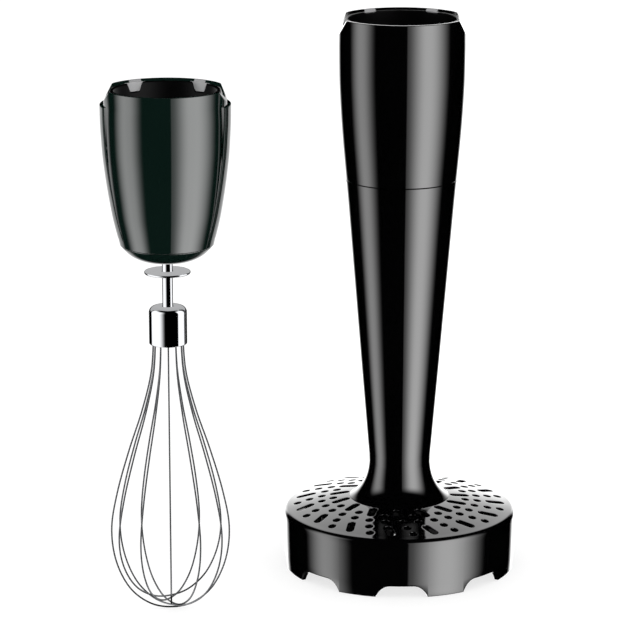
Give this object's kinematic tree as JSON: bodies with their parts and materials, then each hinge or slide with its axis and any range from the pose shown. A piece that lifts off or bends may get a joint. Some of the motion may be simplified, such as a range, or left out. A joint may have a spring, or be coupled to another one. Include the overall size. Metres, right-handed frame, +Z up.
{
  "type": "stick blender attachment set",
  "caption": "Whisk attachment and perforated masher attachment for a stick blender, each with a tapered gloss black gearbox and an open drive coupling on top.",
  "frame": {"origin": "middle of the set's footprint, on the surface that it stands on", "axes": "+Z up along both attachment axes, -Y to the viewer, +X to the right, with the masher to the right and the whisk to the left and in front"},
  "size_m": [0.1768, 0.1396, 0.2439],
  "materials": {
    "black_gloss": "piano-black high gloss",
    "green_black_gloss": "green-black high gloss",
    "black_satin": "fine satin moulded black",
    "chrome": "mirror polished",
    "wire": "drawn and polished stainless wire",
    "steel": "turned steel",
    "bronze": "sintered bronze bush",
    "nylon": "natural white acetal",
    "dark_nylon": "dark grey glass-filled nylon",
    "rubber": "soft black nitrile"
  },
  "bodies": {
    "masher_body": {"masher_lower_shaft": "black_gloss", "masher_foot": "black_gloss", "masher_bearing_plate": "nylon", "masher_lower_bush": "bronze", "masher_shaft_seal": "rubber"},
    "masher_gearbox": {"masher_gearbox_shell": "black_gloss", "masher_coupling_collar": "black_satin", "masher_gearbox_deck": "dark_nylon", "masher_deck_screw_1": "steel", "masher_deck_screw_2": "steel", "masher_deck_screw_3": "steel", "masher_ring_gear": "nylon", "masher_gearbox_base": "black_satin", "masher_output_bush": "bronze"},
    "masher_input": {"masher_input_coupling": "dark_nylon", "masher_sun_gear": "steel"},
    "masher_carrier": {"masher_planet_carrier": "steel"},
    "masher_planet_1": {"masher_planet_gear_1": "nylon"},
    "masher_planet_2": {"masher_planet_gear_2": "nylon"},
    "masher_planet_3": {"masher_planet_gear_3": "nylon"},
    "masher_drive": {"masher_drive_shaft": "steel"},
    "masher_paddle_body": {"masher_paddle": "black_satin"},
    "whisk_gearbox": {"whisk_gearbox_shell": "green_black_gloss", "whisk_side_wing_left": "green_black_gloss", "whisk_side_wing_right": "green_black_gloss", "whisk_coupling_collar": "black_satin", "whisk_gearbox_deck": "dark_nylon", "whisk_deck_screw_1": "steel", "whisk_deck_screw_2": "steel", "whisk_deck_screw_3": "steel", "whisk_ring_gear": "nylon", "whisk_gearbox_base_cap": "green_black_gloss", "whisk_output_bush": "bronze", "whisk_shaft_seal": "rubber"},
    "whisk_input": {"whisk_input_coupling": "dark_nylon", "whisk_sun_gear": "steel"},
    "whisk_carrier": {"whisk_planet_carrier": "steel"},
    "whisk_planet_1": {"whisk_planet_gear_1": "nylon"},
    "whisk_planet_2": {"whisk_planet_gear_2": "nylon"},
    "whisk_planet_3": {"whisk_planet_gear_3": "nylon"},
    "whisk_tool": {"whisk_rod": "chrome", "whisk_retaining_clip": "steel", "whisk_stop_disc": "chrome", "whisk_ferrule": "chrome", "whisk_ferrule_plug": "dark_nylon", "whisk_hoop_1": "wire", "whisk_hoop_2": "wire", "whisk_hoop_3": "wire", "whisk_hoop_4": "wire", "whisk_hoop_5": "wire", "whisk_hoop_6": "wire"}
  },
  "joints": [
    {"name": "masher_gearbox_lift", "type": "slide", "parent": "masher_body", "child": "masher_gearbox", "axis": [0, 0, 1], "range_m": [0, 0.055]},
    {"name": "masher_drive_spin", "type": "hinge", "parent": "masher_body", "child": "masher_drive", "pos_m": [0.03712, 0.01854, 0.2], "axis": [0, 0, 1], "continuous": true},
    {"name": "masher_paddle_pull", "type": "slide", "parent": "masher_drive", "child": "masher_paddle_body", "axis": [0, 0, -1], "range_m": [0, 0.007]},
    {"name": "masher_carrier_spin", "type": "hinge", "parent": "masher_gearbox", "child": "masher_carrier", "pos_m": [0.03712, 0.01854, 0.2], "axis": [0, 0, 1], "continuous": true},
    {"name": "masher_input_spin", "type": "hinge", "parent": "masher_gearbox", "child": "masher_input", "pos_m": [0.03712, 0.01854, 0.2], "axis": [0, 0, 1], "continuous": true},
    {"name": "whisk_attachment_lift", "type": "slide", "parent": "masher_body", "child": "whisk_gearbox", "axis": [0, 0, 1], "range_m": [0, 0.25]},
    {"name": "whisk_carrier_spin", "type": "hinge", "parent": "whisk_gearbox", "child": "whisk_carrier", "pos_m": [-0.06118, -0.04446, 0.2], "axis": [0, 0, 1], "continuous": true},
    {"name": "whisk_input_spin", "type": "hinge", "parent": "whisk_gearbox", "child": "whisk_input", "pos_m": [-0.06118, -0.04446, 0.2], "axis": [0, 0, 1], "continuous": true},
    {"name": "whisk_tool_pull", "type": "slide", "parent": "whisk_carrier", "child": "whisk_tool", "axis": [0, 0, -1], "range_m": [0, 0.0165]},
    {"name": "masher_planet_1_spin", "type": "hinge", "parent": "masher_carrier", "child": "masher_planet_1", "pos_m": [0.04846, 0.01854, 0.2], "axis": [0, 0, 1], "continuous": true},
    {"name": "masher_planet_2_spin", "type": "hinge", "parent": "masher_carrier", "child": "masher_planet_2", "pos_m": [0.03146, 0.02836, 0.2], "axis": [0, 0, 1], "continuous": true},
    {"name": "masher_planet_3_spin", "type": "hinge", "parent": "masher_carrier", "child": "masher_planet_3", "pos_m": [0.03146, 0.00873, 0.2], "axis": [0, 0, 1], "continuous": true},
    {"name": "whisk_planet_1_spin", "type": "hinge", "parent": "whisk_carrier", "child": "whisk_planet_1", "pos_m": [-0.05117, -0.04446, 0.2], "axis": [0, 0, 1], "continuous": true},
    {"name": "whisk_planet_2_spin", "type": "hinge", "parent": "whisk_carrier", "child": "whisk_planet_2", "pos_m": [-0.06617, -0.0358, 0.2], "axis": [0, 0, 1], "continuous": true},
    {"name": "whisk_planet_3_spin", "type": "hinge", "parent": "whisk_carrier", "child": "whisk_planet_3", "pos_m": [-0.06617, -0.05312, 0.2], "axis": [0, 0, 1], "continuous": true}
  ],
  "couplings": [
    {"joint": "masher_drive_spin", "follows": "masher_carrier_spin", "ratio": 1},
    {"joint": "masher_input_spin", "follows": "masher_carrier_spin", "ratio": 4},
    {"joint": "whisk_input_spin", "follows": "whisk_carrier_spin", "ratio": 4},
    {"joint": "masher_planet_1_spin", "follows": "masher_carrier_spin", "ratio": -3},
    {"joint": "masher_planet_2_spin", "follows": "masher_carrier_spin", "ratio": -3},
    {"joint": "masher_planet_3_spin", "follows": "masher_carrier_spin", "ratio": -3},
    {"joint": "whisk_planet_1_spin", "follows": "whisk_carrier_spin", "ratio": -3},
    {"joint": "whisk_planet_2_spin", "follows": "whisk_carrier_spin", "ratio": -3},
    {"joint": "whisk_planet_3_spin", "follows": "whisk_carrier_spin", "ratio": -3}
  ]
}
